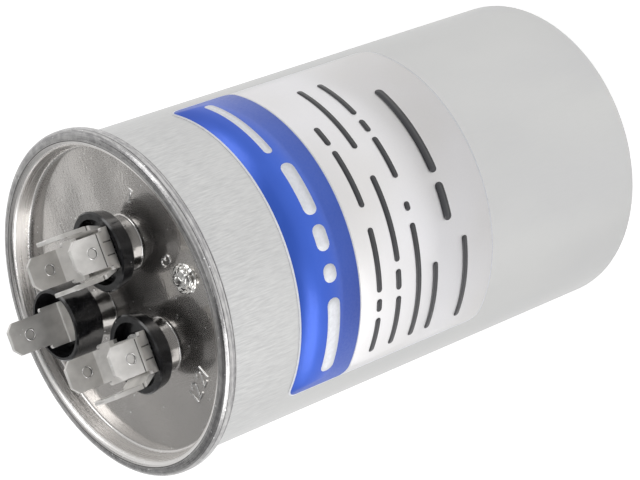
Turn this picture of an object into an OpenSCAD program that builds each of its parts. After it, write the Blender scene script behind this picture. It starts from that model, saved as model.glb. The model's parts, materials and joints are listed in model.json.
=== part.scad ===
// Dual motor run capacitor: a drawn can closed by a double-seamed lid with three blade terminals.
// Z points up the can's axis, z = 0 is the face it stands on, and -Y is the label side.

/* [Can] */
// Outside diameter of the drawn can
can_d = 63.5; // [58:0.5:72]
// Height from the base to the top of the seam
can_h = 111; // [96:1:140]
// Wall of the can
can_t = 0.6; // [0.5:0.05:0.7]
// Outside radius of the can's bottom corner
can_corner_r = 1.5; // [1.2:0.1:3]

/* [Double seam] */
// Height of the seam
seam_h = 2.9; // [2.7:0.1:3.2]
// Clearance between neighbouring layers of the seam
seam_gap = 0.15; // [0.12:0.01:0.18]
// Radius of the can flange's first bend, at mid wall
flange_in_r = 0.45; // [0.4:0.05:0.5]
// Radius of the can flange's second bend, at mid wall
flange_out_r = 0.35; // [0.32:0.02:0.38]
// Radius of the lid curl's bends, at mid sheet
curl_r = 0.45; // [0.35:0.05:0.5]
// Lean of the lid's chuck wall from upright
chuck_lean = 8; // [4:1:12]

/* [Lid] */
// Thickness of the lid sheet
lid_t = 0.5; // [0.4:0.05:0.6]
// Depth of the lid floor below the seam's top
recess_depth = 4; // [3.6:0.1:5]
// Inside radius where the lid floor meets the chuck wall
recess_corner_r = 0.6; // [0.4:0.1:1]
// Radius of a terminal boss at its foot
boss_r = 4.8; // [4.5:0.1:5.4]
// Lean of a boss wall from upright
boss_lean = 7; // [3:1:9]
// Inside bend radius of a boss
boss_bend_r = 0.5; // [0.3:0.1:0.6]
// Height of the two main bosses above the lid floor
boss_h = 3; // [2.6:0.1:4]
// Height of the fan boss above the lid floor
fan_boss_h = 4; // [3.4:0.1:6]
// Diameter of the filling hole
fill_hole_d = 2; // [1.5:0.1:3]
// Distance of the filling hole from the foot of the chuck wall, on the -Y side
fill_inset = 9.4; // [7.5:0.1:11]
// Diameter of the solder that closes the filling hole
solder_d = 6; // [4.5:0.5:7]
// Height of the solder above the lid floor
solder_h = 1.9; // [1:0.1:2.2]
// Radius of a lump in the solder, as a share of the drop's
lump_share = 0.42; // [0.36:0.02:0.48]
// How far a lump strays beyond the drop's edge
lump_stray = 0.2; // [0.1:0.05:0.3]

/* [Terminal layout] */
// Sideways distance of the main terminals from the axis
terminal_x = 10; // [9.6:0.1:11.5]
// Distance of the main terminals from the axis, towards -Y
terminal_y = 7; // [6:0.5:8]
// Distance of the fan terminal from the axis, towards +Y
fan_y = 9.2; // [8.6:0.1:11]

/* [Insulators] */
// Radius of a main insulator at its base
cup_base_r = 7.2; // [6.2:0.1:7.2]
// Outside radius of a main insulator's rim
cup_rim_r = 7.7; // [7.4:0.1:8]
// Height of a main insulator
cup_h = 3.25; // [2.8:0.05:4]
// Inside radius of a main insulator's well
cup_well_r = 6.3; // [6.1:0.1:6.6]
// Thickness of an insulator's base
cup_base_t = 1.25; // [0.8:0.05:1.6]
// Radius of the fan insulator at its base
fan_cup_base_r = 7.1; // [6.2:0.1:7.2]
// Outside radius of the fan insulator's rim
fan_cup_rim_r = 7.15; // [7:0.05:7.6]
// Height of the fan insulator
fan_cup_h = 6.3; // [4.6:0.1:7]
// Inside radius of the fan insulator's well
fan_cup_well_r = 6.35; // [5.8:0.05:6.5]
// Thickness of the rubber seal under an insulator
seal_t = 0.5; // [0.3:0.1:0.8]
// Radius of the rubber seal
seal_r = 3.7; // [3:0.1:3.8]
// Chamfer round an insulator's edges
cup_edge = 0.3; // [0.2:0.05:0.4]
// Draft of an insulator's well over its depth
cup_draft = 0.15; // [0.05:0.05:0.3]

/* [Terminal rivets] */
// Diameter of a rivet's shank
rivet_d = 3.2; // [2.6:0.1:3.6]
// Diameter of a rivet's head
rivet_head_d = 7.6; // [6:0.2:8.6]
// Thickness of the fan rivet's head
fan_head_t = 0.9; // [0.7:0.1:1.6]
// Diameter of the weld pin below a rivet's shank
pin_d = 1.6; // [1.2:0.1:2]
// Wall of the bush in the boss hole
bush_wall = 0.8; // [0.6:0.1:1]
// Radius of the bush's flange
bush_flange_r = 3.2; // [2.9:0.1:3.3]
// Thickness of the bush's flange
bush_flange_t = 1; // [0.8:0.1:1.2]
// Radius of the washer that holds the rivet
washer_r = 3; // [2.6:0.1:3.2]
// Thickness of that washer
washer_t = 0.6; // [0.4:0.1:0.8]
// Height of the shank peened over below the washer
peen_h = 0.6; // [0.4:0.1:0.8]

/* [Blade terminals] */
// Width of a blade
blade_w = 6.35; // [4.8:0.05:6.35]
// Length of a blade above its shoulders
blade_l = 8.1; // [7:0.1:9]
// Thickness of the blade strip
blade_t = 0.8; // [0.7:0.05:0.85]
// Width of a strip below the shoulders
root_w = 7.9; // [7.4:0.1:8.2]
// Width of a strip's flat middle
plate_w = 6.4; // [6:0.1:6.6]
// Height of the shoulders above the base of the main strips
root_h = 2.45; // [2.2:0.05:3]
// Height of the shoulders above the base of the fan strip
fan_root_h = 4.8; // [3.4:0.1:5]
// Corner chamfer of a blade's tip
tip_chamfer = 1.5; // [0.8:0.1:1.8]
// Bevel across the thickness at a blade's tip
tip_bevel = 0.22; // [0.1:0.02:0.3]
// Inside radius of the strip's bends
bend_r = 0.4; // [0.3:0.05:0.5]
// Distance from a main terminal's centre to a main blade's outer face
main_span = 8.15; // [7.8:0.05:8.6]
// Distance from a main terminal's centre to a cross blade's outer face
cross_span = 5.25; // [5.2:0.05:5.5]
// Distance from a main terminal's centre to the single side blade's outer face
side_span = 6.1; // [5.9:0.1:6.4]
// Height above a strip's base where its blades turn upright
jog_h = 3.8; // [3.4:0.1:4.4]
// Distance from the fan terminal's centre to its blade's outer face
fan_span = 2.9; // [2.4:0.1:3.4]
// Diameter of the latch dimple
dimple_d = 2.1; // [1.4:0.1:2.4]
// Depth of the latch dimple in each face
dimple_depth = 0.26; // [0.1:0.02:0.3]
// Distance from a blade's tip to the centre of its dimple
dimple_drop = 4.4; // [4:0.1:5]
// Reach of the fan strip's foot behind its terminal's centre
fan_foot = 3.6; // [3:0.1:3.8]
// Chamfer of a strip's shoulders
shoulder_soft = 0.25; // [0.15:0.05:0.4]
// Depth of the pressed lines on a main blade's root
crease_depth = 0.14; // [0.05:0.01:0.2]
// Width of a pressed line
crease_w = 0.24; // [0.1:0.02:0.3]
// Distance between a root's two pressed lines
crease_gap = 2.5; // [2:0.1:4]

/* [Label] */
// Height of the label's lower edge above the base
label_z = 41.5; // [20:0.5:48]
// Height of the label
label_h = 50; // [30:1:52]
// Height of the coloured band at the label's top
label_band_h = 15.2; // [8:0.2:20]
// Width of the label round the can
label_w = 72; // [40:1:90]
// Turn of the label's middle from the -Y direction
label_turn = 5.6; // [-10:0.2:10]
// Thickness of the label
label_t = 0.14; // [0.1:0.01:0.2]
// Corner radius of the label
label_corner_r = 2; // [1:0.5:4]

/* [Winding] */
// Capacitance of the main section in microfarads
main_uf = 50; // [30:5:80]
// Capacitance of the fan section in microfarads
fan_uf = 5; // [4:0.5:10]
// Outside radius of the core tube
core_r = 5; // [4:0.5:5.5]
// Wall of the core tube
core_wall = 1; // [0.8:0.1:1.4]
// Thickness of the film barrier between the two sections
barrier_t = 0.5; // [0.4:0.1:0.8]
// Thickness of the sprayed metal on the roll's ends
spray_t = 0.6; // [0.4:0.1:1]
// Thickness of the wrap round the roll
wrap_t = 0.5; // [0.3:0.1:0.8]
// Height left for the leads between the roll and the interrupter's plate
lead_room = 12.5; // [10:0.5:30]

/* [Inner supports] */
// Thickness of the bottom pan's floor
pan_t = 3.2; // [3:0.1:5]
// Thickness of the bottom pan's wall
pan_wall_t = 1.4; // [1:0.1:3]
// Height of the bottom pan's wall above its floor
pan_wall_h = 8; // [4:0.5:14]
// Thickness of the interrupter's plate
interrupter_t = 2; // [1.5:0.1:3]
// Gap between the interrupter's plate and the underside of the lid
interrupter_drop = 7; // [6:0.5:10]
// Radial clearance of the inner supports
support_gap = 0.2; // [0.1:0.05:0.4]
// Diameter of an insulated lead
lead_d = 2.2; // [1.6:0.1:2.4]
// Thickness of a weld lug
lug_t = 0.5; // [0.3:0.1:0.8]
// Length of a weld lug from its pin to its lead
lug_l = 3; // [2.5:0.1:4]
// Width of a weld lug
lug_w = 3; // [2.6:0.1:4]
// Length of the common lead's groove under the roll, from the axis
groove_l = 16; // [8:0.5:24]

/* [Hidden] */
$fn = 96;
EPS = 0.01;
FIT_GAP = 0.05;

// Seam, from the can outwards
can_r = can_d / 2;
can_mid_r = can_r - can_t / 2;
layer_pitch = lid_t / 2 + seam_gap + can_t / 2;
cover_hook_r = can_mid_r + layer_pitch;
body_hook_r = cover_hook_r + layer_pitch;
seam_mid_r = body_hook_r + layer_pitch;
crest_z = can_h - lid_t / 2;
flange_z = crest_z - layer_pitch;
flange_in_c = [can_mid_r + flange_in_r, flange_z - flange_in_r];
flange_out_c = [body_hook_r - flange_out_r, flange_z - flange_out_r];
curl_z = can_h - seam_h + lid_t / 2;
cover_hook_top = flange_z - can_t / 2 - seam_gap;
body_hook_end = curl_z + lid_t / 2 + seam_gap;

// Lid
floor_z = can_h - recess_depth;
floor_mid_z = floor_z - lid_t / 2;
lid_under_z = floor_z - lid_t;
recess_bend_r = recess_corner_r + lid_t / 2;
crest_in_r = flange_in_r + layer_pitch;
crest_out_r = flange_out_r + layer_pitch;
chuck_top = flange_in_c + crest_in_r * [-cos(chuck_lean), sin(chuck_lean)];
chuck_foot_z = floor_mid_z + recess_bend_r * (1 - sin(chuck_lean));
chuck_foot_r = chuck_top[0] - (chuck_top[1] - chuck_foot_z) * tan(chuck_lean);
recess_bend_c = [chuck_foot_r - recess_bend_r * cos(chuck_lean), floor_mid_z + recess_bend_r];
fill_y = chuck_foot_r - fill_inset;

// Bosses and terminals
herm_at = [-terminal_x, -terminal_y];
common_at = [terminal_x, -terminal_y];
fan_at = [0, fan_y];
boss_mid_bend = boss_bend_r + lid_t / 2;
boss_foot_r = boss_r + boss_mid_bend;
neck_r = rivet_d / 2 + bush_wall;
cup_z = floor_z + boss_h + seal_t;
fan_cup_z = floor_z + fan_boss_h + seal_t;
cup_rim_z = cup_z + cup_h;
well_z = cup_z + cup_base_t;
fan_well_z = fan_cup_z + cup_base_t;

// Strips: the cross strips lie in the well and the main strips lie on them and on the rim
main_strip_z = cup_rim_z;
cross_strip_z = main_strip_z - blade_t;
fan_strip_z = fan_well_z + fan_head_t;
cross_root_h = root_h + blade_t;
bend_mid_r = bend_r + blade_t / 2;
lean_rise = jog_h - blade_t / 2 - bend_mid_r;
cross_root = plate_w / 2 + bend_r + blade_t + FIT_GAP;
main_root = cup_well_r + blade_t / 2;
main_head_t = cross_strip_z - well_z;

// Inner stack
interrupter_top = lid_under_z - interrupter_drop;
interrupter_z = interrupter_top - interrupter_t;
lead_top = interrupter_z - lug_t;
herm_lug_turn = 180;
fan_lug_turn = -90;
common_lug_turn = atan2(-common_at[1], -common_at[0]);
pan_r = can_r - can_t - support_gap;
pan_in_r = pan_r - pan_wall_t;
roll_r = pan_in_r - FIT_GAP - wrap_t;
common_spray_z = can_t + pan_t;
roll_z = common_spray_z + spray_t;
spray_top = interrupter_z - lead_room;
roll_top = spray_top - spray_t;
roll_h = roll_top - roll_z;
fan_share = fan_uf / (main_uf + fan_uf);
fan_roll_r = sqrt(core_r * core_r + fan_share * (roll_r * roll_r - core_r * core_r));
main_roll_r = fan_roll_r + barrier_t;

// Label
label_r = can_r + 0.02;
label_sweep = label_w / (PI * (2 * label_r + label_t)) * 360;
label_mid = -90 + label_turn;
label_band_z = label_z + label_h - label_band_h;
trim_r = label_corner_r * 1.06;

// Points of an arc about c, from angle a0 to a1
function arc(c, r, a0, a1, n = 6) =
    [for (i = [0:n]) c + r * [cos(a0 + (a1 - a0) * i / n), sin(a0 + (a1 - a0) * i / n)]];

function reversed(list) = [for (i = [len(list) - 1:-1:0]) list[i]];

// A folded sheet's section, from its two faces' points
module sheet_section(left, right) {
    polygon(concat(left, reversed(right)));
}

// One face of the can's wall, s to the inside of its middle
function can_face(s) = concat(
    [[0, can_t / 2 + s]],
    arc([can_r - can_corner_r, can_corner_r], can_corner_r - can_t / 2 - s, -90, 0),
    arc(flange_in_c, flange_in_r + s, 180, 90),
    arc(flange_out_c, flange_out_r + s, 90, 0),
    [[body_hook_r + s, body_hook_end]]
);

// One face of the lid sheet outside its bosses, s above its middle
function lid_face(s) = concat(
    [[0, floor_mid_z + s]],
    arc(recess_bend_c, recess_bend_r - s, -90, -chuck_lean),
    arc(flange_in_c, crest_in_r + s, 180 - chuck_lean, 90),
    arc(flange_out_c, crest_out_r + s, 90, 0),
    arc([seam_mid_r - curl_r, curl_z + curl_r], curl_r + s, 0, -90),
    arc([cover_hook_r + curl_r, curl_z + curl_r], curl_r + s, -90, -180),
    [[cover_hook_r - s, cover_hook_top]]
);

// One face of the compound that lines the seam over the can's flange
function compound_face(s) = let (reach = can_t / 2 + seam_gap / 2) concat(
    [[can_mid_r - reach - s, curl_z]],
    arc(flange_in_c, flange_in_r + reach + s, 180, 90),
    arc(flange_out_c, flange_out_r + reach + s, 90, 0),
    [[body_hook_r + reach + s, body_hook_end]]
);

// One face of a boss of height h, from its hole to its foot, s above its middle
function boss_face(h, s) =
    let (
        mid = h - lid_t / 2,
        foot = -lid_t / 2,
        rise = mid - foot - 2 * boss_mid_bend * (1 - sin(boss_lean)),
        foot_c = [boss_foot_r, foot + boss_mid_bend],
        top_c = [foot_c[0] - 2 * boss_mid_bend * cos(boss_lean) - rise * tan(boss_lean), mid - boss_mid_bend]
    )
    concat(
        [[neck_r + FIT_GAP, mid + s]],
        arc(top_c, boss_mid_bend + s, 90, boss_lean),
        arc(foot_c, boss_mid_bend - s, 180 + boss_lean, 270)
    );

module can() {
    color("silver")
    rotate_extrude()
    sheet_section(can_face(can_t / 2), can_face(-can_t / 2));
}

module boss(h) {
    translate([0, 0, floor_z])
    rotate_extrude()
    sheet_section(boss_face(h, lid_t / 2), boss_face(h, -lid_t / 2));
}

// Puts a copy of its children at each terminal's place
module at_terminal(at) {
    translate([at[0], at[1], 0])
    children();
}

module lid() {
    color("lightgray")
    union() {
        difference() {
            rotate_extrude()
            sheet_section(lid_face(lid_t / 2), lid_face(-lid_t / 2));
            for (at = [herm_at, common_at, fan_at]) {
                at_terminal(at)
                translate([0, 0, lid_under_z - 1])
                cylinder(r = boss_foot_r, h = lid_t + 2);
            }
            translate([0, -fill_y, lid_under_z - 1])
            cylinder(d = fill_hole_d, h = lid_t + 2);
        }
        at_terminal(herm_at) boss(boss_h);
        at_terminal(common_at) boss(boss_h);
        at_terminal(fan_at) boss(fan_boss_h);
    }
}

module seam_compound() {
    half = seam_gap / 2 - 0.02;
    color("dimgray")
    rotate_extrude()
    sheet_section(compound_face(half), compound_face(-half));
}

// What a ball leaves above the lid floor
module floor_cap(r, z) {
    intersection() {
        translate([0, 0, floor_z + z])
        sphere(r = r);
        translate([-solder_d, -solder_d, floor_z])
        cube(2 * solder_d);
    }
}

// Solder drop over the filling hole, with the lumps it sets in
module fill_solder() {
    drop_r = solder_d / 2;
    ball_r = (drop_r * drop_r + solder_h * solder_h) / (2 * solder_h);
    lump_r = drop_r * lump_share;
    color("gainsboro")
    translate([0, -fill_y, 0])
    union() {
        floor_cap(ball_r, solder_h - ball_r);
        for (turn = [20, 145, 265]) {
            rotate([0, 0, turn])
            translate([drop_r - lump_r + lump_stray, 0, 0])
            floor_cap(lump_r, lump_r / 4);
        }
        translate([0, 0, lid_under_z])
        cylinder(d = fill_hole_d - 2 * FIT_GAP, h = lid_t + EPS);
    }
}

// Insulating cup: a base, a wall that flares to the rim and an open well
module cup(base_r, rim_r, well_r, h) {
    color([0.08, 0.08, 0.09])
    rotate_extrude()
    polygon([
        [rivet_d / 2 + FIT_GAP, 0],
        [base_r - cup_edge, 0],
        [base_r, cup_edge],
        [rim_r, h - cup_edge],
        [rim_r - cup_edge, h],
        [well_r, h],
        [well_r - cup_draft, cup_base_t],
        [rivet_d / 2 + FIT_GAP, cup_base_t]
    ]);
}

module main_cup(at) {
    at_terminal(at)
    translate([0, 0, cup_z])
    cup(cup_base_r, cup_rim_r, cup_well_r, cup_h);
}

module herm_cup() main_cup(herm_at);

module common_cup() main_cup(common_at);

module fan_cup() {
    at_terminal(fan_at)
    translate([0, 0, fan_cup_z])
    cup(fan_cup_base_r, fan_cup_rim_r, fan_cup_well_r, fan_cup_h);
}

// Washer of the given inner and outer radius, standing on z
module ring(inner, outer, h, z) {
    translate([0, 0, z])
    difference() {
        cylinder(r = outer, h = h);
        translate([0, 0, -1])
        cylinder(r = inner, h = h + 2);
    }
}

module seal(at, h) {
    color("darkslategray")
    at_terminal(at)
    ring(neck_r + FIT_GAP, seal_r, seal_t, floor_z + h);
}

module herm_seal() seal(herm_at, boss_h);

module common_seal() seal(common_at, boss_h);

module fan_seal() seal(fan_at, fan_boss_h);

// Flanged bush that lines the boss hole and bears on its underside
module bush(at, h) {
    under = floor_z + h - lid_t;
    color("ivory")
    at_terminal(at)
    union() {
        ring(rivet_d / 2 + FIT_GAP, bush_flange_r, bush_flange_t, under - bush_flange_t);
        ring(rivet_d / 2 + FIT_GAP, neck_r, lid_t + seal_t + EPS, under - EPS);
    }
}

module herm_bush() bush(herm_at, boss_h);

module common_bush() bush(common_at, boss_h);

module fan_bush() bush(fan_at, fan_boss_h);

function washer_z(h) = floor_z + h - lid_t - bush_flange_t - washer_t;

module washer(at, h) {
    color("lightsteelblue")
    at_terminal(at)
    ring(rivet_d / 2, washer_r, washer_t, washer_z(h));
}

module herm_washer() washer(herm_at, boss_h);

module common_washer() washer(common_at, boss_h);

module fan_washer() washer(fan_at, fan_boss_h);

// Headed pin: the head lies in the well and the thin end is welded to its lug
module rivet(at, h, head_z, head_t) {
    peen_z = washer_z(h) - peen_h;
    pin_z = interrupter_z - lug_t;
    color("lightgray")
    at_terminal(at)
    union() {
        translate([0, 0, head_z])
        cylinder(d = rivet_head_d, h = head_t);
        translate([0, 0, peen_z])
        cylinder(d = rivet_d, h = head_z - peen_z + EPS);
        translate([0, 0, pin_z])
        cylinder(d = pin_d, h = peen_z - pin_z + EPS);
    }
}

module herm_rivet() rivet(herm_at, boss_h, well_z, main_head_t);

module common_rivet() rivet(common_at, boss_h, well_z, main_head_t);

module fan_rivet() rivet(fan_at, fan_boss_h, fan_well_z, fan_head_t);

// One face of a strip's section, from reach inside its centre out to the blade's tip
function strip_face(s, span, root, tip, reach) =
    let (
        mid = span - blade_t / 2,
        lean = atan((span - root) / lean_rise),
        bend_c = [root - blade_t / 2 - bend_mid_r, blade_t / 2 + bend_mid_r],
        tip_s = s * (1 - 2 * tip_bevel / blade_t)
    )
    concat(
        [[-reach, blade_t / 2 + s]],
        arc(bend_c, bend_mid_r - s, -90, -lean),
        lean > 0 ? arc([mid - bend_mid_r, jog_h], bend_mid_r - s, -lean, 0, 3) : [],
        [[mid - s, tip - tip_bevel], [mid - tip_s, tip]]
    );

// Outline of a blade seen on its flat: root, shoulders and chamfered tip
module blade_outline(shoulder, tip) {
    right = [
        [root_w / 2, -EPS],
        [root_w / 2, shoulder - shoulder_soft],
        [root_w / 2 - shoulder_soft, shoulder],
        [blade_w / 2, shoulder],
        [blade_w / 2, tip - tip_chamfer],
        [blade_w / 2 - tip_chamfer, tip + EPS]
    ];
    polygon(concat(right, [for (p = reversed(right)) [-p[0], p[1]]]));
}

// A strip's half with one blade, on the +X side of its centre
module strip_half(span, root, shoulder, reach = 0) {
    tip = shoulder + blade_l;
    difference() {
        intersection() {
            rotate([90, 0, 0])
            linear_extrude(height = root_w + 1, center = true)
            sheet_section(
                strip_face(blade_t / 2, span, root, tip, reach),
                strip_face(-blade_t / 2, span, root, tip, reach)
            );
            translate([-reach - 1, 0, 0])
            rotate([90, 0, 90])
            linear_extrude(height = span + reach + 2)
            blade_outline(shoulder, tip);
        }
        for (face = [span, span - blade_t]) {
            translate([face - dimple_depth, 0, tip - dimple_drop])
            rotate([0, 90, 0])
            cylinder(d = dimple_d, h = 2 * dimple_depth);
        }
    }
}

// Pressed lines down the outer face of a leaning root, and the line across their top
module creases(span, root) {
    lean = atan((span - root) / lean_rise);
    middle_z = (jog_h + blade_t / 2 + bend_mid_r) / 2 - (bend_mid_r + blade_t / 2) * sin(lean);
    middle_x = (span + root) / 2 - (bend_mid_r + blade_t / 2) * (1 - cos(lean));
    for (side = [-1, 1]) {
        translate([middle_x, side * crease_gap / 2, middle_z])
        rotate([0, lean, 0])
        cube([2 * crease_depth, crease_w, lean_rise / cos(lean)], center = true);
    }
    translate([span - crease_depth, -root_w / 2, jog_h + crease_w])
    cube([2 * crease_depth, root_w, crease_w]);
}

// U-shaped strip with a blade at each end, narrowed where the cross strip rises past it
module main_tabs(at) {
    color([0.72, 0.71, 0.7])
    at_terminal(at)
    translate([0, 0, main_strip_z])
    rotate([0, 0, 90])
    difference() {
        union() {
            for (turn = [0, 180]) {
                rotate([0, 0, turn])
                difference() {
                    strip_half(main_span, main_root, root_h);
                    creases(main_span, main_root);
                }
            }
        }
        for (side = [-1, 1]) {
            translate([-root_w / 2 - FIT_GAP, side > 0 ? plate_w / 2 : -root_w, -1])
            cube([root_w + 2 * FIT_GAP, root_w - plate_w / 2, blade_t + 2]);
        }
    }
}

module herm_main_tabs() main_tabs(herm_at);

module common_main_tabs() main_tabs(common_at);

module common_cross_tabs() {
    color([0.72, 0.71, 0.7])
    at_terminal(common_at)
    translate([0, 0, cross_strip_z])
    union() {
        for (turn = [0, 180]) {
            rotate([0, 0, turn])
            strip_half(cross_span, cross_root, cross_root_h);
        }
    }
}

module herm_side_tab() {
    color([0.72, 0.71, 0.7])
    at_terminal(herm_at)
    translate([0, 0, cross_strip_z])
    rotate([0, 0, 180])
    strip_half(side_span, cross_root, cross_root_h, plate_w / 2);
}

module fan_tab() {
    color([0.72, 0.71, 0.7])
    at_terminal(fan_at)
    translate([0, 0, fan_strip_z])
    rotate([0, 0, 90])
    strip_half(fan_span, fan_span, fan_root_h, fan_foot);
}

// Where a lug's lead leaves it
function toward(at, turn) = [at[0] + lug_l * cos(turn), at[1] + lug_l * sin(turn)];

// Weld lug under the interrupter's plate, running from the pin towards its lead
module lug(at, turn) {
    color("tan")
    at_terminal(at)
    translate([0, 0, interrupter_z - lug_t])
    difference() {
        union() {
            cylinder(d = lug_w, h = lug_t);
            rotate([0, 0, turn])
            translate([0, -lug_w / 2, 0])
            cube([lug_l + lug_w / 2, lug_w, lug_t]);
        }
        translate([0, 0, -1])
        cylinder(d = pin_d + 2 * FIT_GAP, h = lug_t + 2);
    }
}

module herm_lug() lug(herm_at, herm_lug_turn);

module common_lug() lug(common_at, common_lug_turn);

module fan_lug() lug(fan_at, fan_lug_turn);

// Straight stretch of a lead between two points
module rod(a, b) {
    v = b - a;
    translate(a)
    rotate([0, acos(v[2] / norm(v)), atan2(v[1], v[0])])
    cylinder(d = lead_d, h = norm(v));
}

// Quarter bend of a lead, from +Y of its centre down to below it
module elbow(bend) {
    rotate([-90, 0, 90])
    rotate_extrude(angle = 90)
    translate([bend, 0])
    circle(d = lead_d);
}

// Lead through the given points, with a slightly fuller ball at each turn
module lead(points) {
    ball_d = lead_d + FIT_GAP;
    color("firebrick")
    union() {
        for (i = [0:len(points) - 2]) {
            rod(points[i], points[i + 1]);
        }
        for (i = [1:len(points) - 2]) {
            translate(points[i])
            sphere(d = ball_d);
        }
    }
}

module herm_lead() {
    end = toward(herm_at, herm_lug_turn);
    lead([[end[0], end[1], lead_top], [end[0], end[1], spray_top]]);
}

module fan_lead() {
    end = toward(fan_at, fan_lug_turn);
    lead([[end[0], end[1], lead_top], [end[0], end[1], spray_top]]);
}

// The common lead runs down the core and along a groove to the roll's lower end
module common_lead() {
    end = toward(common_at, common_lug_turn);
    low = common_spray_z - lead_d / 2;
    bend = lead_d;
    union() {
        lead([
            [end[0], end[1], lead_top],
            [end[0], end[1], lead_top - lead_d],
            [0, 0, spray_top + 2 * lead_d],
            [0, 0, low + bend]
        ]);
        translate([0, -bend, low + bend])
        elbow(bend);
        rod([0, -bend, low], [0, -groove_l, low]);
    }
}

module interrupter_cap() {
    skirt_in_r = roll_r + FIT_GAP;
    color("whitesmoke")
    difference() {
        translate([0, 0, spray_top])
        cylinder(r = pan_r, h = interrupter_top - spray_top);
        translate([0, 0, spray_top - 1])
        cylinder(r = skirt_in_r, h = interrupter_z - spray_top + 1);
        for (at = [herm_at, common_at, fan_at]) {
            at_terminal(at)
            translate([0, 0, interrupter_z - 1])
            cylinder(d = pin_d + 4 * FIT_GAP, h = interrupter_t + 2);
        }
    }
}

module herm_end_metal() {
    color("slategray")
    ring(main_roll_r + FIT_GAP, roll_r - FIT_GAP, spray_t, roll_top);
}

module fan_end_metal() {
    color("slategray")
    ring(core_r + FIT_GAP, fan_roll_r - FIT_GAP, spray_t, roll_top);
}

module common_end_metal() {
    color("slategray")
    ring(core_r + FIT_GAP, roll_r - FIT_GAP, spray_t, common_spray_z);
}

module main_winding() {
    color("lightyellow")
    ring(main_roll_r + FIT_GAP, roll_r - FIT_GAP, roll_h, roll_z);
}

module section_barrier() {
    color("khaki")
    ring(fan_roll_r + FIT_GAP, main_roll_r - FIT_GAP, roll_h, roll_z);
}

module fan_winding() {
    color("palegoldenrod")
    ring(core_r + FIT_GAP, fan_roll_r - FIT_GAP, roll_h, roll_z);
}

module core_tube() {
    stand_out = 1;
    color("white")
    ring(core_r - core_wall, core_r - FIT_GAP, spray_top + stand_out - common_spray_z, common_spray_z);
}

module roll_wrap() {
    color("burlywood")
    ring(roll_r + FIT_GAP, roll_r + wrap_t, spray_top - common_spray_z, common_spray_z);
}

module bottom_pan() {
    corner = can_corner_r - can_t + support_gap;
    groove_w = lead_d + 4 * FIT_GAP;
    color("whitesmoke")
    difference() {
        translate([0, 0, can_t])
        rotate_extrude()
        polygon([
            [0, 0],
            [pan_r - corner, 0],
            [pan_r, corner],
            [pan_r, pan_t + pan_wall_h],
            [pan_in_r, pan_t + pan_wall_h],
            [pan_in_r, pan_t],
            [0, pan_t]
        ]);
        translate([-groove_w / 2, -groove_l - groove_w / 2, common_spray_z - groove_w])
        cube([groove_w, groove_l + groove_w, groove_w + 1]);
    }
}

// Curved sheet from z0 up by h, across the label's width
module label_sheet(z0, h) {
    rotate([0, 0, label_mid - label_sweep / 2])
    rotate_extrude(angle = label_sweep)
    translate([label_r, z0])
    square([label_t, h]);
}

// What is trimmed off one corner, which lies at the origin of its own tangent plane
module corner_trim() {
    reach = 1;
    rotate([90, 0, 90])
    linear_extrude(height = 2 * reach, center = true)
    difference() {
        translate([-reach, -reach])
        square(label_corner_r + reach);
        translate([label_corner_r, label_corner_r])
        circle(r = trim_r);
    }
}

module label() {
    difference() {
        union() {
            color("royalblue")
            label_sheet(label_band_z, label_band_h);
            color("white")
            label_sheet(label_z, label_h - label_band_h);
        }
        for (side = [-1, 1], top = [0, 1]) {
            rotate([0, 0, label_mid + side * label_sweep / 2])
            translate([label_r, 0, label_z + top * label_h])
            mirror([0, side > 0 ? 1 : 0, 0])
            mirror([0, 0, top])
            corner_trim();
        }
    }
}

can();
lid();
seam_compound();
fill_solder();
label();
herm_cup();
common_cup();
fan_cup();
herm_seal();
common_seal();
fan_seal();
herm_bush();
common_bush();
fan_bush();
herm_washer();
common_washer();
fan_washer();
herm_rivet();
common_rivet();
fan_rivet();
herm_main_tabs();
herm_side_tab();
common_main_tabs();
common_cross_tabs();
fan_tab();
herm_lug();
common_lug();
fan_lug();
herm_lead();
common_lead();
fan_lead();
interrupter_cap();
herm_end_metal();
fan_end_metal();
main_winding();
section_barrier();
fan_winding();
core_tube();
roll_wrap();
common_end_metal();
bottom_pan();
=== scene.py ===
"""Looks of the motor run capacitor: finishes, label, solder, lid marks, camera and studio. Metres, +Z up."""
import json
import math

import bmesh
import bpy
from mathutils import Matrix, Quaternion, Vector, noise


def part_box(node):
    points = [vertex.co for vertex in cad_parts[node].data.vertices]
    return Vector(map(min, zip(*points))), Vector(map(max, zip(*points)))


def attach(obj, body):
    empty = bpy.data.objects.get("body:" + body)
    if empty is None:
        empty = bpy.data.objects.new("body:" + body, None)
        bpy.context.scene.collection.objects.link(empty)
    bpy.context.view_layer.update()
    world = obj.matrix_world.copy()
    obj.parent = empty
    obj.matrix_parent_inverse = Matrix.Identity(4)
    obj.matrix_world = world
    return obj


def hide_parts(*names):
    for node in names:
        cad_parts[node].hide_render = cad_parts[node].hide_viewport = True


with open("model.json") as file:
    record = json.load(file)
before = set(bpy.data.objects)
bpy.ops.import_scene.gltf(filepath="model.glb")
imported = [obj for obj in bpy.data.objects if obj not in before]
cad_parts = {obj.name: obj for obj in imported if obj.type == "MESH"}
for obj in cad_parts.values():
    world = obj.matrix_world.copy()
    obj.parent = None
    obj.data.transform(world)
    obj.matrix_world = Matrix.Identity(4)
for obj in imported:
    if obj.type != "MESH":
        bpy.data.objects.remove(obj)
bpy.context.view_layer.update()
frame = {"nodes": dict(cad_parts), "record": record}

MM = 0.001
TAU = 2 * math.pi


# ---------------------------------------------------------------- places taken from the frame

LID_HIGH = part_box("lid")[1]
SEAM_R = LID_HIGH.x
CREST_Z = LID_HIGH.z
LABEL_LOW, LABEL_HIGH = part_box("label")
LABEL_R = -LABEL_LOW.y
BOSS_H = 3.0 * MM
FLOOR_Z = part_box("herm_seal")[0].z - BOSS_H

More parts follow.
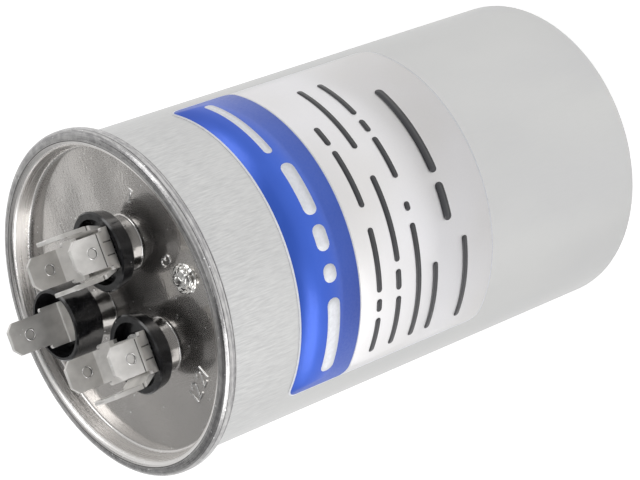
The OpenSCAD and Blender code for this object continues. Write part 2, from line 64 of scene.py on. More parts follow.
# Where the tinplate's finish changes: the recess's wall, the seam's hook and the dark lines of painted shade
# on the seam
WALL_START_R = SEAM_R - 4.6 * MM
WALL_FULL_R = SEAM_R - 3.2 * MM
HOOK_START_R = SEAM_R - 2.02 * MM
HOOK_FULL_R = SEAM_R - 1.85 * MM
HOOK_START_Z = CREST_Z - 3.1 * MM
HOOK_FULL_Z = CREST_Z - 2.9 * MM
CREST_LINE_R = SEAM_R - 2.06 * MM
CREST_LINE_HALF = 0.09 * MM
CREST_LINE_START_Z = CREST_Z - 0.8 * MM
CREST_LINE_FULL_Z = CREST_Z - 0.6 * MM
UPPER_LINE_Z = CREST_Z - 1.02 * MM
UPPER_LINE_HALF = 0.07 * MM
LOWER_LINE_Z = CREST_Z - 2.38 * MM
LOWER_LINE_HALF = 0.08 * MM

# Between these heights the can's drawing lines fade in towards the seam
LINES_START_Z = CREST_Z - 33 * MM
LINES_FULL_Z = CREST_Z - 7 * MM


# ---------------------------------------------------------------- node helpers

class Nodes:
    """A node tree with short calls for the nodes used here."""

    def __init__(self, tree):
        self.tree = tree

    def link(self, source, target):
        self.tree.links.new(source, target)

    def node(self, kind, inputs=None, **settings):
        """New node with its settings; an input's value is a constant or another node's output."""
        node = self.tree.nodes.new(kind)
        for key, value in settings.items():
            setattr(node, key, value)
        for key, value in (inputs or {}).items():
            if isinstance(value, bpy.types.NodeSocket):
                self.link(value, node.inputs[key])
            else:
                node.inputs[key].default_value = value
        return node

    def math(self, operation, a, b=0.0):
        return self.node("ShaderNodeMath", {0: a, 1: b}, operation=operation).outputs[0]

    def plus(self, a, b):
        return self.math("ADD", a, b)

    def minus(self, a, b):
        return self.math("SUBTRACT", a, b)

    def times(self, a, b):
        return self.math("MULTIPLY", a, b)

    def larger(self, a, b):
        return self.math("MAXIMUM", a, b)

    def mix(self, factor, a, b):
        """Colour a where factor is 0 and colour b where it is 1."""
        return self.node("ShaderNodeMix", {0: factor, 6: a, 7: b}, data_type="RGBA").outputs[2]

    def mix_value(self, factor, a, b):
        """Value a where factor is 0 and value b where it is 1."""
        return self.node("ShaderNodeMix", {0: factor, 2: a, 3: b}, data_type="FLOAT").outputs[0]

    def remap(self, value, low, high, to_low=0.0, to_high=1.0, smooth=False):
        """Value from low to high, carried over to to_low to to_high and held there beyond."""
        kind = "SMOOTHSTEP" if smooth else "LINEAR"
        inputs = {"Value": value, "From Min": low, "From Max": high, "To Min": to_low, "To Max": to_high}
        return self.node("ShaderNodeMapRange", inputs, interpolation_type=kind, clamp=True).outputs["Result"]

    def band(self, value, centre, half):
        """1 where value is within half of centre, with a soft edge."""
        away = self.math("ABSOLUTE", self.minus(value, centre))
        return self.remap(away, half, half * 0.5)

    def coordinates(self, kind):
        """X, Y and Z of a texture coordinate, such as Object or Normal."""
        source = self.node("ShaderNodeTexCoord").outputs[kind]
        return self.node("ShaderNodeSeparateXYZ", {0: source}).outputs

    def radius(self):
        """Distance from the can's axis."""
        x, y, _ = self.coordinates("Object")
        return self.math("SQRT", self.plus(self.times(x, x), self.times(y, y)))

    def combine(self, x, y, z):
        return self.node("ShaderNodeCombineXYZ", {0: x, 1: y, 2: z}).outputs[0]

    def stretched(self, *cells):
        """Object coordinates in cells per metre of each axis."""
        place = self.node("ShaderNodeTexCoord").outputs["Object"]
        return self.node("ShaderNodeVectorMath", {0: place, 1: cells}, operation="MULTIPLY").outputs[0]

    def noise(self, vector, detail=2.0, roughness=0.5, w=None):
        """Noise of a vector, which flows along a fourth coordinate where w is given."""
        inputs = {"Vector": vector, "Scale": 1.0, "Detail": detail, "Roughness": roughness}
        if w is None:
            return self.node("ShaderNodeTexNoise", inputs, noise_dimensions="3D").outputs["Fac"]
        return self.node("ShaderNodeTexNoise", {**inputs, "W": w}, noise_dimensions="4D").outputs["Fac"]

    def grain(self, cells, detail=2.0):
        """Noise that looks alike in all directions, in cells per metre."""
        return self.noise(self.stretched(cells, cells, cells), detail)

    def specks(self, cells, reach, gate_cells, gate):
        """Scattered dots that fade in over reach, in cells, where a slow noise is past gate."""
        source = {"Vector": self.stretched(cells, cells, cells), "Scale": 1.0}
        dots = self.node("ShaderNodeTexVoronoi", source).outputs["Distance"]
        return self.times(self.remap(dots, *reach), self.remap(self.grain(gate_cells, 0), *gate))

    def bump(self, height, distance, strength, normal=None):
        inputs = {"Height": height, "Distance": distance, "Strength": strength}
        if normal is not None:
            inputs["Normal"] = normal
        return self.node("ShaderNodeBump", inputs).outputs["Normal"]

    def seen_directly(self):
        """1 for camera, glossy and transmission rays."""
        rays = self.node("ShaderNodeLightPath").outputs
        sharp = self.larger(rays["Is Camera Ray"], rays["Is Glossy Ray"])
        return self.larger(sharp, rays["Is Transmission Ray"])


class Shader(Nodes):
    """A new material, its node tree and its Principled shader."""

    def __init__(self, name):
        self.material = bpy.data.materials.new(name)
        self.material.use_nodes = True
        super().__init__(self.material.node_tree)
        self.bsdf = self.tree.nodes["Principled BSDF"]

    def set(self, **values):
        """Sets sockets of the Principled shader; _ stands for a space in the socket's name."""
        for key, value in values.items():
            self.bsdf.inputs[key.replace("_", " ")].default_value = value
        return self

    def plug(self, source, socket):
        self.link(source, self.bsdf.inputs[socket])


def srgb(r, g, b):
    """Linear colour of an sRGB triple from 0 to 255."""
    shares = (r / 255, g / 255, b / 255)
    linear = [c / 12.92 if c <= 0.04045 else ((c + 0.055) / 1.055) ** 2.4 for c in shares]
    return (*linear, 1.0)


def grey(value):
    """Linear grey colour."""
    return (value, value, value, 1.0)


# ---------------------------------------------------------------- materials

def can_material():
    """Satin drawn aluminium: short drawing lines along the axis, strongest under the seam."""
    s = Shader("can_aluminium").set(Metallic=1.0)
    height = s.coordinates("Object")[2]
    lines = s.noise(s.stretched(3600, 3600, 380), detail=3, roughness=0.6)
    broad = s.noise(s.stretched(60, 60, 25))
    near_rim = s.remap(height, LINES_START_Z, LINES_FULL_Z, 0.18, 1.0, smooth=True)
    tone = s.mix(s.remap(lines, 0.3, 0.7), srgb(178, 178, 178), srgb(202, 202, 201))
    cloud = s.mix(s.remap(broad, 0.35, 0.65), srgb(188, 188, 188), srgb(193, 193, 192))
    s.plug(s.mix(near_rim, cloud, tone), "Base Color")
    s.plug(s.remap(lines, 0.25, 0.75, 0.36, 0.5), "Roughness")
    s.plug(s.bump(s.times(lines, near_rim), 0.02 * MM, 0.35), "Normal")
    return s.material


def seam_shade_lines(s, radius, height, hook):
    """Thin dark lines of painted shade: one inside the crest and two round the hook's folds."""
    on_crest = s.remap(height, CREST_LINE_START_Z, CREST_LINE_FULL_Z)
    crest_line = s.times(s.band(radius, CREST_LINE_R, CREST_LINE_HALF), on_crest)
    upper = s.band(height, UPPER_LINE_Z, UPPER_LINE_HALF)
    lower = s.band(height, LOWER_LINE_Z, LOWER_LINE_HALF)
    return s.larger(crest_line, s.times(s.larger(upper, lower), hook))


def tinplate_material():
    """Bright tinplate: hazy mirror floor with dust, boss walls painted darker as shade, rolled grain on wall
    and seam, and painted shade lines on the seam.
    """
    s = Shader("tinplate").set(Metallic=1.0)
    x, y, height = s.coordinates("Object")
    radius = s.radius()
    wall = s.remap(radius, WALL_START_R, WALL_FULL_R, smooth=True)
    in_hook = s.remap(radius, HOOK_START_R, HOOK_FULL_R)
    hook = s.times(in_hook, s.remap(height, HOOK_START_Z, HOOK_FULL_Z))
    steep = s.remap(s.coordinates("Normal")[2], 0.9, 0.6)

    # The rolled grain has long cells round the rim and fine ones across it, in cells per metre
    along = 60
    across = 2600
    ring = s.combine(s.times(x, along), s.times(y, along), s.times(radius, across))
    rolled = s.noise(ring, detail=3, w=s.times(height, across))
    scuffs = s.noise(s.stretched(700, 700, 1600), detail=3, roughness=0.6)
    streaks = s.plus(s.times(rolled, 0.6), s.times(scuffs, 0.4))
    speck = s.specks(620, reach=(0.12, 0.07), gate_cells=150, gate=(0.5, 0.54))

    flat = s.mix(s.remap(s.grain(45), 0.35, 0.65), srgb(196, 193, 190), srgb(208, 204, 200))
    # Painted shade: the steep boss walls get a darker grey, standing in for the dark surroundings they
    # mirror.
    floor_tone_with_painted_shade = s.mix(steep, flat, srgb(150, 149, 148))
    wall_tone = s.mix(s.remap(rolled, 0.3, 0.7), srgb(196, 194, 192), srgb(226, 224, 222))
    hook_tone = s.mix(s.remap(streaks, 0.4, 0.6), srgb(140, 139, 140), srgb(188, 187, 186))
    sheet = s.mix(hook, s.mix(wall, floor_tone_with_painted_shade, wall_tone), hook_tone)
    # Painted shade: dark lines where the crest meets the recess's wall and along the hook's folds.
    shade_lined = s.mix(seam_shade_lines(s, radius, height, hook), sheet, srgb(38, 38, 40))
    s.plug(s.mix(speck, shade_lined, srgb(240, 240, 240)), "Base Color")

    clean = 0.15
    haze = s.remap(s.grain(9000, 1), 0.46, 0.62, 0.07, 0.45)
    hazy = s.times(s.minus(haze, clean), s.minus(1.0, steep))
    floor_roughness = s.plus(s.plus(hazy, clean), s.times(speck, 0.4))
    wall_roughness = s.remap(rolled, 0.3, 0.7, 0.2, 0.4)
    s.plug(s.mix_value(wall, floor_roughness, wall_roughness), "Roughness")

    dents = s.bump(s.grain(95, 1), 0.35 * MM, 0.4)
    peel = s.noise(s.stretched(1000, 1700, 1700), detail=1)
    peeled = s.bump(s.times(peel, s.minus(1.0, wall)), 0.016 * MM, 0.7, dents)
    rough = s.bump(s.times(s.grain(2600), wall), 0.045 * MM, 0.6, peeled)
    s.plug(s.bump(s.times(rolled, wall), 0.03 * MM, 0.5, rough), "Normal")
    return s.material


def strip_material():
    """Dull tinned strip: fine grain, cloudy tarnish, small bright pinholes, and painted shade that darkens
    its pressed lines, dimples and inner corners.
    """
    s = Shader("tinned_strip").set(Metallic=0.8)
    grain = s.noise(s.stretched(5200, 5200, 900), detail=3)
    cloud = s.noise(s.stretched(260, 260, 200), detail=3)
    pinhole = s.specks(900, reach=(0.16, 0.08), gate_cells=300, gate=(0.6, 0.66))
    tone = s.mix(s.remap(cloud, 0.35, 0.65), srgb(200, 198, 195), srgb(228, 226, 223))
    # Painted shade: ambient occlusion darkens the strip's creases, dimples and inner corners to a dark grey.
    crevice_shade = s.node("ShaderNodeAmbientOcclusion", {"Distance": 0.3 * MM}, samples=12, only_local=True)
    outside_crevice_shade = s.remap(crevice_shade.outputs["AO"], 0.55, 0.88)
    s.plug(s.mix(outside_crevice_shade, srgb(70, 69, 68), s.mix(pinhole, tone, srgb(235, 235, 235))), "Base Color")
    s.plug(s.remap(grain, 0.25, 0.75, 0.36, 0.52), "Roughness")
    s.plug(s.bump(grain, 0.015 * MM, 0.4), "Normal")
    return s.material


def black_material():
    """Glossy black moulded plastic with a faint flow texture and a few dust specks."""
    s = Shader("black_plastic").set(Metallic=0.0, IOR=1.5)
    grain = s.grain(900, 3)
    speck = s.specks(700, reach=(0.12, 0.06), gate_cells=240, gate=(0.6, 0.66))
    tone = s.mix(s.remap(grain, 0.35, 0.65), srgb(20, 20, 21), srgb(34, 34, 36))
    s.plug(s.mix(speck, tone, srgb(150, 150, 150)), "Base Color")
    s.plug(s.remap(grain, 0.3, 0.7, 0.12, 0.24), "Roughness")
    s.plug(s.bump(grain, 0.03 * MM, 0.25), "Normal")
    return s.material


def solder_material():
    """Bright solder with dull, darker patches scattered over it."""
    s = Shader("solder").set(Metallic=1.0)
    cloud = s.grain(420)
    s.plug(s.mix(s.remap(cloud, 0.4, 0.5), srgb(110, 108, 106), srgb(240, 239, 236)), "Base Color")
    s.plug(s.remap(cloud, 0.35, 0.5, 0.2, 0.05), "Roughness")
    s.plug(s.bump(cloud, 0.3 * MM, 0.5), "Normal")
    return s.material


def plain_material(name, low, high, roughness, metallic=0.0, cells=1400, depth=0.02 * MM):
    """A finish with a light mottle between two colours, for the parts that are mostly out of sight."""
    s = Shader(name).set(Metallic=metallic)
    grain = s.grain(cells, 3)
    s.plug(s.mix(s.remap(grain, 0.3, 0.7), low, high), "Base Color")
    s.plug(s.remap(grain, 0.25, 0.75, roughness - 0.06, roughness + 0.06), "Roughness")
    s.plug(s.bump(grain, depth, 0.4), "Normal")
    return s.material


def wound_material(name, low, high, pitch):
    """Wound film, whose layers show as fine rings on the ends."""
    s = Shader(name).set(Metallic=0.0)
    rings = s.math("FRACT", s.math("DIVIDE", s.radius(), pitch))
    grain = s.grain(300, 3)
    s.plug(s.mix(s.times(rings, grain), low, high), "Base Color")
    s.plug(s.remap(grain, 0.3, 0.7, 0.22, 0.4), "Roughness")
    s.plug(s.bump(rings, 0.02 * MM, 0.4), "Normal")
    return s.material


def field_material():
    """Pale pearly label film."""
    s = Shader("label_field").set(Metallic=0.6, Coat_Weight=0.08, Coat_Roughness=0.2)
    fine = s.grain(2500)
    s.plug(s.mix(s.remap(s.grain(35), 0.35, 0.65), srgb(222, 220, 219), srgb(230, 229, 231)), "Base Color")
    s.plug(s.remap(fine, 0.3, 0.7, 0.46, 0.56), "Roughness")
    s.plug(s.bump(fine, 0.004 * MM, 0.4), "Normal")
    return s.material


def band_material():
    """Blue printed band."""
    s = Shader("label_band").set(Metallic=0.4, Coat_Weight=0.12, Coat_Roughness=0.15)
    fine = s.grain(2200)
    s.plug(s.mix(s.remap(s.grain(40), 0.3, 0.7), srgb(38, 78, 184), srgb(58, 102, 212)), "Base Color")
    s.plug(s.remap(fine, 0.3, 0.7, 0.34, 0.44), "Roughness")
    s.plug(s.bump(fine, 0.004 * MM, 0.4), "Normal")
    return s.material


def ink_material(name, colour):
    """Printed ink, a little darker in places."""
    s = Shader(name).set(Metallic=0.0)
    fine = s.grain(1500)
    darker = (*(c * 0.9 for c in colour[:3]), 1.0)
    s.plug(s.mix(s.remap(fine, 0.3, 0.7), darker, colour), "Base Color")
    s.plug(s.remap(fine, 0.3, 0.7, 0.3, 0.4), "Roughness")
    return s.material


# Finish of each slot of the record
MATERIALS = {
    "can_aluminium": can_material(),
    "tinplate": tinplate_material(),
    "tinned_strip": strip_material(),
    "black_plastic": black_material(),
    "solder": solder_material(),
    "compound": plain_material("compound", srgb(70, 72, 76), srgb(92, 94, 98), 0.6),
    "rubber": plain_material("rubber", srgb(26, 26, 27), srgb(38, 38, 40), 0.7),
    "ivory_plastic": plain_material("ivory_plastic", srgb(226, 218, 196), srgb(236, 230, 212), 0.45),
    "plated_steel": plain_material("plated_steel", srgb(186, 186, 186), srgb(206, 205, 203), 0.28,
                                   metallic=1.0),
    "lead_insulation": plain_material("lead_insulation", srgb(168, 40, 32), srgb(186, 52, 42), 0.42),
    "white_plastic": plain_material("white_plastic", srgb(228, 228, 224), srgb(240, 240, 237), 0.42),
    "sprayed_metal": plain_material("sprayed_metal", srgb(140, 142, 146), srgb(176, 178, 182), 0.62,
                                    metallic=1.0, cells=1800, depth=0.08 * MM),
    "metallised_film": wound_material("metallised_film", srgb(190, 192, 190), srgb(222, 222, 214), 0.35 * MM),
    "clear_film": wound_material("clear_film", srgb(206, 190, 150), srgb(226, 214, 180), 0.25 * MM),
    "label_film": field_material(),
}
BAND = band_material()
WHITE_INK = ink_material("white_ink", srgb(246, 248, 254))
DARK_INK = ink_material("dark_ink", srgb(44, 44, 48))


def dress_nodes():
    """Gives every CAD node the finish of its slot."""
    for part in frame["record"]["subparts"]:
        mesh = frame["nodes"][part["node"]].data
        mesh.materials.clear()
        mesh.materials.append(MATERIALS[part["material_slot"]])


# ---------------------------------------------------------------- piece helpers

def place_object(name, data):
    """New object in the scene."""
    obj = bpy.data.objects.new(name, data)
    bpy.context.scene.collection.objects.link(obj)
    return obj


def add_mesh(name, mesh, material):
    """Smooth piece of the one body, from a finished mesh."""
    for polygon in mesh.polygons:
        polygon.use_smooth = True
    mesh.materials.clear()
    mesh.materials.append(material)
    piece = place_object(name, mesh)
    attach(piece, "root")
    return piece


def add_piece(name, build, material):
    """Smooth piece of the one body, from a function that draws it into a bmesh."""
    mesh = bpy.data.meshes.new(name)
    bm = bmesh.new()
    build(bm)
    bmesh.ops.recalc_face_normals(bm, faces=bm.faces)
    bm.to_mesh(mesh)
    bm.free()
    return add_mesh(name, mesh, material)


def box_middle(name):
    """Middle of a CAD node's box."""
    low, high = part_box(name)
    return (low + high) / 2


# ---------------------------------------------------------------- label

LABEL_Z = LABEL_LOW.z
LABEL_H = LABEL_HIGH.z - LABEL_LOW.z
LABEL_START = -math.acos(LABEL_LOW.x / LABEL_R)
LABEL_END = -math.acos(LABEL_HIGH.x / LABEL_R)
LABEL_W = (LABEL_END - LABEL_START) * LABEL_R
LABEL_TILT = math.radians(0.7)

# Sheets of the label, measured as it lies flat: the film with its border, and the band across its top
BORDER = 0.3 * MM
FILM_W = LABEL_W - 0.6 * MM
FILM_H = LABEL_H - 0.5 * MM
FILM_CORNER = 2.4 * MM
BAND_W = LABEL_W - 0.2 * MM
BAND_V = LABEL_H - 15.2 * MM
BAND_EDGE_CORNER = 2.2 * MM
BAND_CORNER = 2.0 * MM

# How far the sheets stand above their base, and how far down their rims reach
BASE_R = LABEL_R - 0.08 * MM
FILM_LIFT = 0.06 * MM
FIELD_LIFT = 0.08 * MM
BAND_EDGE_LIFT = 0.10 * MM
BAND_LIFT = 0.12 * MM
PRINT_LIFT = 0.15 * MM
FILM_RIM = 0.18 * MM
BAND_EDGE_RIM = 0.22 * MM
THIN_RIM = 0.03 * MM

# Widest step along a sheet, so that it follows the can, and the distance within which two places are one
COLUMN_PITCH = 0.8 * MM
NEAR = 1e-12


def on_label(u, v, lift):
    """Point of the label: u along it from its left end, v up from its lower edge, lift above its base."""
    angle = LABEL_START + u / LABEL_R
    radius = BASE_R + lift
    drop = (u - LABEL_W / 2) * math.tan(LABEL_TILT)
    return Vector((radius * math.cos(angle), radius * math.sin(angle), LABEL_Z + v - drop))


def arc(cx, cy, radius, start, end, steps=8):
    """Points of an arc between two angles in degrees."""
    angles = [math.radians(start + (end - start) * i / steps) for i in range(steps + 1)]
    return [(cx + radius * math.cos(a), cy + radius * math.sin(a)) for a in angles]


def round_rect(u0, u1, v0, v1, radius, steps=6):
    """Outline of a rectangle with round corners, anticlockwise."""
    left, right, low, high = u0 + radius, u1 - radius, v0 + radius, v1 - radius
    points = []
    for u, v, start in ((right, high, 0), (left, high, 90), (left, low, 180), (right, low, 270)):
        points += arc(u, v, radius, start, start + 90, steps)
    return points


def columns_of(outline):
    """Every u of an outline's points, and steps between them of at most the column pitch."""
    first, *others = sorted({u for u, _ in outline})
    columns = [first]
    for u in others:
        start = columns[-1]
        if u - start > NEAR:
            steps = math.ceil((u - start) / COLUMN_PITCH)
            columns += [start + (u - start) * (i + 1) / steps for i in range(steps)]
    return columns


def reach_at(outline, u):
    """Lowest and highest v of a convex outline at u."""
    hits = []
    for (u0, v0), (u1, v1) in zip(outline, outline[1:] + outline[:1]):
        if min(u0, u1) - NEAR <= u <= max(u0, u1) + NEAR:
            if abs(u1 - u0) < NEAR:
                hits += [v0, v1]
            else:
                hits.append(v0 + (u - u0) / (u1 - u0) * (v1 - v0))
    return min(hits), max(hits)


def sticker(bm, outline, lift, rim=THIN_RIM):
    """Fills a convex outline on the can with columns that follow its curve, its edge turned down by rim."""
    columns = []
    for u in columns_of(outline):
        low, high = reach_at(outline, u)
        spots = ((low, lift - rim), (low, lift), (high, lift), (high, lift - rim))
        columns.append([bm.verts.new(on_label(u, v, height)) for v, height in spots])
    for left, right in zip(columns, columns[1:]):
        for i in range(len(left) - 1):
            bm.faces.new((left[i], right[i], right[i + 1], left[i + 1]))
    for end in (columns[0], columns[-1]):
        bm.faces.new(end)


def label_sheet(name, outline, material, lift, rim=THIN_RIM):
    """One sheet of the label as its own piece."""
    return add_piece(name, lambda bm: sticker(bm, outline, lift, rim), material)


def label_sheets():
    """White film with the pale field on it, and the blue band with its white outline."""
    whole = round_rect(0, FILM_W, 0, FILM_H, FILM_CORNER)
    film = label_sheet("label_film", whole, WHITE_INK, FILM_LIFT, FILM_RIM)
    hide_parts("label")
    field = round_rect(BORDER, FILM_W - BORDER, BORDER, FILM_H - BORDER, FILM_CORNER - BORDER)
    label_sheet("label_field", field, MATERIALS["label_film"], FIELD_LIFT)
    edge = round_rect(0, BAND_W, BAND_V, LABEL_H, BAND_EDGE_CORNER)
    label_sheet("label_edge_line", edge, WHITE_INK, BAND_EDGE_LIFT, BAND_EDGE_RIM)
    band = round_rect(BORDER, BAND_W - BORDER, BAND_V + BORDER, LABEL_H - BORDER, BAND_CORNER)
    label_sheet("label_band", band, BAND, BAND_LIFT)


# Rows of the print in mm: height above the field's or the band's lower edge, bar height, and each bar's ends
BAND_ROWS = (
    (6.9, 3.0, ((4, 20), (23, 26.5), (29, 34), (36, 47))),
    (8.1, 1.9, ((50, 69),)),
)
FIELD_ROWS = (
    (30.2, 1.3, ((4, 12), (13.4, 16), (17.4, 30), (34, 46), (47.4, 52))),
    (25.2, 1.3, ((4, 15), (16.4, 20.5), (22, 39), (45, 63))),
    (20.0, 1.3, ((4, 28), (30.4, 32.2), (37, 46), (47.4, 50.4), (52, 63))),
    (15.6, 1.3, ((4, 19),)),
    (11.0, 2.0, ((26, 33.5), (35.5, 56))),
    (7.6, 1.3, ((4, 22),)),
)


# Corner radius of a bar as a share of its height: at 0.5 its ends would be half circles
BAR_ROUNDING = 0.45


def pill(u0, u1, v, height):
    """Outline of a bar with nearly round ends."""
    return round_rect(u0, u1, v - height / 2, v + height / 2, height * BAR_ROUNDING, steps=4)


def print_bars(name, rows, base_v, material):
    """All bars of some rows as one piece."""
    def build(bm):
        for v, height, spans in rows:
            for start, end in spans:
                sticker(bm, pill(start * MM, end * MM, base_v + v * MM, height * MM), PRINT_LIFT)
    add_piece(name, build, material)


# ---------------------------------------------------------------- solder drop

# Lumps of the drop: direction round it in radians, slope upwards and size
SOLDER_LUMPS = ((0.4, 0.5, 1.0), (2.5, 0.7, 0.9), (4.4, 0.6, 1.0), (5.6, 1.1, 0.75), (1.4, 1.6, 1.05))
LUMP_SHARPNESS = 12

# Shares of the drop's radius: its plain body, and what a lump, the crumpled skin and a fold add or take
BODY = 0.86
SWELL = 0.2
CRUMPLE = 0.05
FOLD = 0.12

# Noise of the skin and of the folds: cells per radius, where each noise starts, and how wide a fold is
CRUMPLE_CELLS = 3.1
CRUMPLE_START = Vector((3.1, 0.4, 1.7))
FOLD_CELLS = 2.2
FOLD_START = Vector((7.7, 2.1, 5.2))
FOLD_WIDTH = 0.06

# Shares again: the width above the foot, the foot's extra spread and its height, and how far the skin sinks
WAIST = 1.02
FOOT_SPREAD = 0.1
FOOT_HEIGHT = 0.12
SUNK = 0.1


def bell(distance):
    """1 at distance 0, falling off softly on both sides."""
    return math.exp(-distance ** 2)


def solder_reach(p, lumps):
    """Distance of the drop's skin in the direction p, as a share of its radius."""
    swell = max(size * math.exp(-LUMP_SHARPNESS * (1 - p.dot(lump))) for lump, size in lumps)
    crumple = noise.noise(p * CRUMPLE_CELLS + CRUMPLE_START)
    fold = bell(noise.noise(p * FOLD_CELLS + FOLD_START) / FOLD_WIDTH)
    return BODY + SWELL * swell + CRUMPLE * crumple - FOLD * fold * max(0.0, p.z)


def solder_blob(bm):
    """Drop of solder: a few swollen lumps that run together, with pinched folds and a thin foot."""
    low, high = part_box("fill_solder")
    middle = (low + high) / 2
    base = Vector((middle.x, middle.y, FLOOR_Z))
    radius = (high.x - low.x) / 2
    height = high.z - FLOOR_Z
    lumps = [(Vector((math.cos(a), math.sin(a), up)).normalized(), size) for a, up, size in SOLDER_LUMPS]
    bmesh.ops.create_icosphere(bm, subdivisions=6, radius=1.0)
    for vert in bm.verts:
        p = vert.co.normalized()
        reach = solder_reach(p, lumps)
        across = radius * reach * (WAIST + FOOT_SPREAD * bell(max(p.z, 0.0) / FOOT_HEIGHT))
        up = max(p.z, -SUNK) * height * min(reach, 1.0)
        vert.co = base + Vector((p.x * across, p.y * across, up))


# ---------------------------------------------------------------- dimples of the blades

BLADE_T = 0.8 * MM
DIMPLE_R = 1.05 * MM
DIMPLE_BEAD = 0.13 * MM
DIMPLE_DROP = 4.4 * MM
FACING_X = Vector((1, 0, 0))
FACING_Y = Vector((0, 1, 0))


def turns(steps):
    """Angles of equal steps once round."""
    return [TAU * i / steps for i in range(steps)]


def ring_bead(bm, centre, axis, radius, bead, steps=32, sides=8):
    """Small round bead in a ring about an axis."""
    up = Vector((0, 0, 1))
    turn = up.rotation_difference(axis)
    rings = []
    for a in turns(steps):
        out = Vector((math.cos(a), math.sin(a), 0))
        spots = [out * (radius + bead * math.cos(b)) + up * (bead * math.sin(b)) for b in turns(sides)]
        rings.append([bm.verts.new(centre + turn @ spot) for spot in spots])
    for ring, following in zip(rings, rings[1:] + rings[:1]):
        for j in range(sides):
            k = (j + 1) % sides
            bm.faces.new((ring[j], following[j], following[k], ring[k]))


def blade_tips():
    """Middle of every blade's tip, and the axis that its face looks along."""
    half = BLADE_T / 2
    tips = []
    for name in ("herm_main_tabs", "common_main_tabs"):
        low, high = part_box(name)
        middle = box_middle(name)
        tips += [(Vector((middle.x, y, high.z)), FACING_Y) for y in (low.y + half, high.y - half)]
    low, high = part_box("common_cross_tabs")
    middle = box_middle("common_cross_tabs")
    tips += [(Vector((x, middle.y, high.z)), FACING_X) for x in (low.x + half, high.x - half)]
    low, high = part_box("herm_side_tab")
    tips.append((Vector((low.x + half, box_middle("herm_side_tab").y, high.z)), FACING_X))
    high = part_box("fan_tab")[1]
    tips.append((Vector((box_middle("fan_tab").x, high.y - half, high.z)), FACING_Y))
    return tips


def dimple_rims(bm):
    """Rolled-up rim round each dimple, on both faces of every blade."""
    down = Vector((0, 0, -DIMPLE_DROP))
    out = BLADE_T / 2 - DIMPLE_BEAD / 3
    for tip, facing in blade_tips():
        for side in (-out, out):
            ring_bead(bm, tip + down + facing * side, facing, DIMPLE_R, DIMPLE_BEAD)


# ---------------------------------------------------------------- marks on the lid

MARK_W = 0.44 * MM
MARK_LIFT = 0.02 * MM

# Strokes of the marks in mm, in their own plane: x along the rim, y towards the lid's middle
ONE = ([(-0.55, 2.2), (0.05, 2.9), (0.05, 0.0)], [(-0.55, 0.0), (0.65, 0.0)])
TWO = (arc(0.0, 2.1, 0.85, 170, -30) + [(-0.85, 0.0), (0.95, 0.0)],)
THREE = (arc(0.0, 2.2, 0.7, 160, -80) + arc(0.0, 0.8, 0.8, 80, -160),)
BAR = ([(0.0, 0.0), (0.0, 2.9)],)


def ridge_mesh(name, strokes, width):
    """Low round ridges along strokes, each of which is a list of points."""
    curve = bpy.data.curves.new(name, "CURVE")
    curve.dimensions = "3D"
    curve.bevel_depth = width / 2
    curve.bevel_resolution = 3
    curve.use_fill_caps = True
    for points in strokes:
        spline = curve.splines.new("POLY")
        spline.points.add(len(points) - 1)
        for target, point in zip(spline.points, points):
            target.co = (*point, 1.0)
    drawn = place_object(name, curve)
    mesh = bpy.data.meshes.new_from_object(drawn)
    bpy.data.objects.remove(drawn)
    return mesh


def lid_mark(name, glyphs, cup, shift, turn=0):
    """Pressed mark on the lid floor, upright towards its middle and turned by some degrees.

    Glyphs pairs each figure with its place along the mark, and shift leads from the cup's middle, all in mm.
    """
    start = box_middle(cup) + Vector((*shift, 0)) * MM
    start.z = FLOOR_Z + MARK_LIFT
    inward = Vector((-start.x, -start.y, 0)).normalized()
    inward.rotate(Matrix.Rotation(math.radians(turn), 3, "Z"))
    along = Vector((inward.y, -inward.x, 0))
    strokes = []
    for place, glyph in glyphs:
        for stroke in glyph:
            strokes.append([start + (along * (place + x) + inward * y) * MM for x, y in stroke])
    add_mesh(name, ridge_mesh(name, strokes, MARK_W), MATERIALS["plated_steel"])


def lid_marks():
    """Plain numbers on the lid floor: beside the common and the herm terminal, and between these two."""
    lid_mark("lid_mark_common", ((0, ONE),), "common_cup", (8.5, -7.5), turn=-10)
    lid_mark("lid_mark_herm", ((-3.4, BAR), (-1.6, TWO), (1.6, TWO), (3.4, BAR)), "herm_cup", (-10.2, -7.3))
    lid_mark("lid_mark_fan", ((0, THREE),), "common_cup", (-5.4, -11.6))


# ---------------------------------------------------------------- camera

CAMERA_DISTANCE = 505.1 * MM
CAMERA_ELEVATION = math.radians(37.36)
CAMERA_AZIMUTH = math.radians(1.25)
CAMERA_ROLL = math.radians(-110.84)
CAMERA_LENS = 139.33
CAMERA_AIM = Vector((-2.5, 10.9, 51.0)) * MM


def place_camera():
    """Camera that looks down on the standing can, rolled over so that the can lies across the picture."""
    data = bpy.data.cameras.new("camera")
    data.lens = CAMERA_LENS
    data.sensor_width = 36.0
    data.clip_start = 0.01
    data.clip_end = 50.0
    turn = Matrix.Rotation(CAMERA_AZIMUTH, 4, "Z")
    tilt = Matrix.Rotation(math.pi / 2 - CAMERA_ELEVATION, 4, "X")
    roll = Matrix.Rotation(CAMERA_ROLL, 4, "Z")
    back = Vector((0, -math.cos(CAMERA_ELEVATION), math.sin(CAMERA_ELEVATION)))
    place = turn @ (CAMERA_AIM + back * CAMERA_DISTANCE)
    camera = place_object("camera", data)
    camera.matrix_world = Matrix.Translation(place) @ turn @ tilt @ roll
    bpy.context.scene.camera = camera


# ---------------------------------------------------------------- studio

STUDIO_MIDDLE = Vector((0, 0, 0.09))
WORLD_LIGHT = 0.45
FLOOR_SIZE = 12.0
FLOOR_ALBEDO = 0.85
FLOOR_GLOW = 0.58


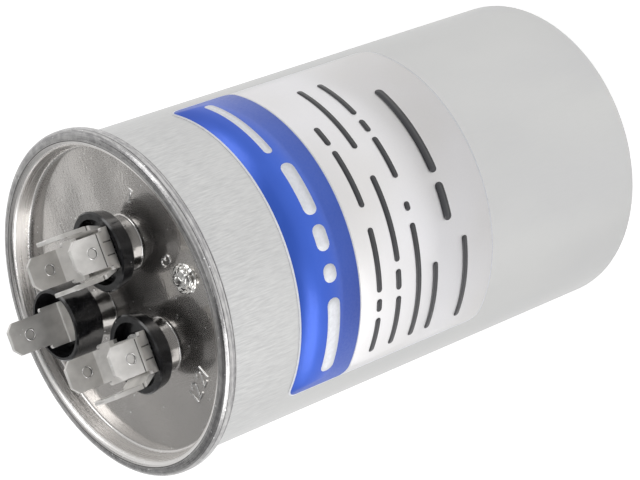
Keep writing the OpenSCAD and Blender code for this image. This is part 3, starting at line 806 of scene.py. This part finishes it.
def make_world():
    """White surroundings, seen at full strength and shining on the object at less."""
    world = bpy.data.worlds.new("studio")
    world.use_nodes = True
    bpy.context.scene.world = world
    nodes = Nodes(world.node_tree)
    background = world.node_tree.nodes["Background"]
    background.inputs["Color"].default_value = grey(1.0)
    nodes.link(nodes.mix_value(nodes.seen_directly(), WORLD_LIGHT, 1.0), background.inputs["Strength"])


def flat_sheet(name, width, height, material):
    """Rectangle of the studio that lies face up about the origin."""
    x, y = width / 2, height / 2
    mesh = bpy.data.meshes.new(name)
    mesh.from_pydata([(-x, -y, 0), (x, -y, 0), (x, y, 0), (-x, y, 0)], [], [(0, 1, 2, 3)])
    mesh.materials.append(material)
    return place_object(name, mesh)


def make_floor():
    """Pale floor that keeps the shadow and glows a little where it is seen."""
    s = Shader("floor").set(Base_Color=grey(FLOOR_ALBEDO), Roughness=0.9, Specular_IOR_Level=0.0)
    s.set(Emission_Color=grey(1.0))
    s.plug(s.times(s.seen_directly(), FLOOR_GLOW), "Emission Strength")
    floor = flat_sheet("floor", FLOOR_SIZE, FLOOR_SIZE, s.material)


def around(azimuth, elevation, distance):
    """Place round the object, in degrees: azimuth goes from -Y towards +X."""
    a, e = math.radians(azimuth), math.radians(elevation)
    way = Vector((math.sin(a) * math.cos(e), -math.cos(a) * math.cos(e), math.sin(e)))
    return STUDIO_MIDDLE + way * distance


def face_middle(obj, place, forward, roll=0):
    """Puts an object at a place with its forward axis to the studio's middle, rolled by some degrees."""
    obj.location = place
    obj.rotation_mode = "QUATERNION"
    facing = (STUDIO_MIDDLE - place).to_track_quat(forward, "Y")
    obj.rotation_quaternion = facing @ Quaternion((0, 0, 1), math.radians(roll))


def softbox(name, place, width, height, power):
    """Soft rectangular light."""
    data = bpy.data.lights.new(name, "AREA")
    data.shape = "RECTANGLE"
    data.size = width
    data.size_y = height
    data.energy = power
    face_middle(place_object(name, data), place, "-Z")


def reflection_card(name, place, width, height, tone, roll=0):
    """Card that only reflections show: it gives bright metal something plain to mirror."""
    s = Shader(name).set(Base_Color=grey(0.0), Specular_IOR_Level=0.0)
    s.set(Emission_Color=grey(tone), Emission_Strength=1.0)
    card = flat_sheet(name, width, height, s.material)
    face_middle(card, place, "Z", roll)
    card.visible_camera = False
    card.visible_diffuse = False
    card.visible_shadow = False
    card.visible_transmission = False


def make_studio():
    """Floor, world, softboxes and cards."""
    make_world()
    make_floor()
    softbox("softbox_left", around(-62, 20, 0.9), width=0.85, height=0.5, power=4.2)
    softbox("softbox_right", around(76, 38, 1.0), width=0.5, height=0.5, power=2.4)
    reflection_card("card_back", around(206, 53, 1.2), width=2.4, height=1.3, tone=0.36, roll=45)
    reflection_card("card_left", around(-62, 52, 1.1), width=1.0, height=0.86, tone=0.08)
    reflection_card("card_front", around(22, 42, 1.3), width=1.4, height=0.7, tone=0.32)
    bpy.context.scene.view_settings.view_transform = "Standard"


# ---------------------------------------------------------------- build

place_camera()
make_studio()
dress_nodes()
label_sheets()
print_bars("label_band_bars", BAND_ROWS, BAND_V, WHITE_INK)
print_bars("label_field_bars", FIELD_ROWS, 0.0, DARK_INK)
blob = add_piece("solder_drop", solder_blob, MATERIALS["solder"])
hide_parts("fill_solder")
add_piece("dimple_rims", dimple_rims, MATERIALS["plated_steel"])
lid_marks()
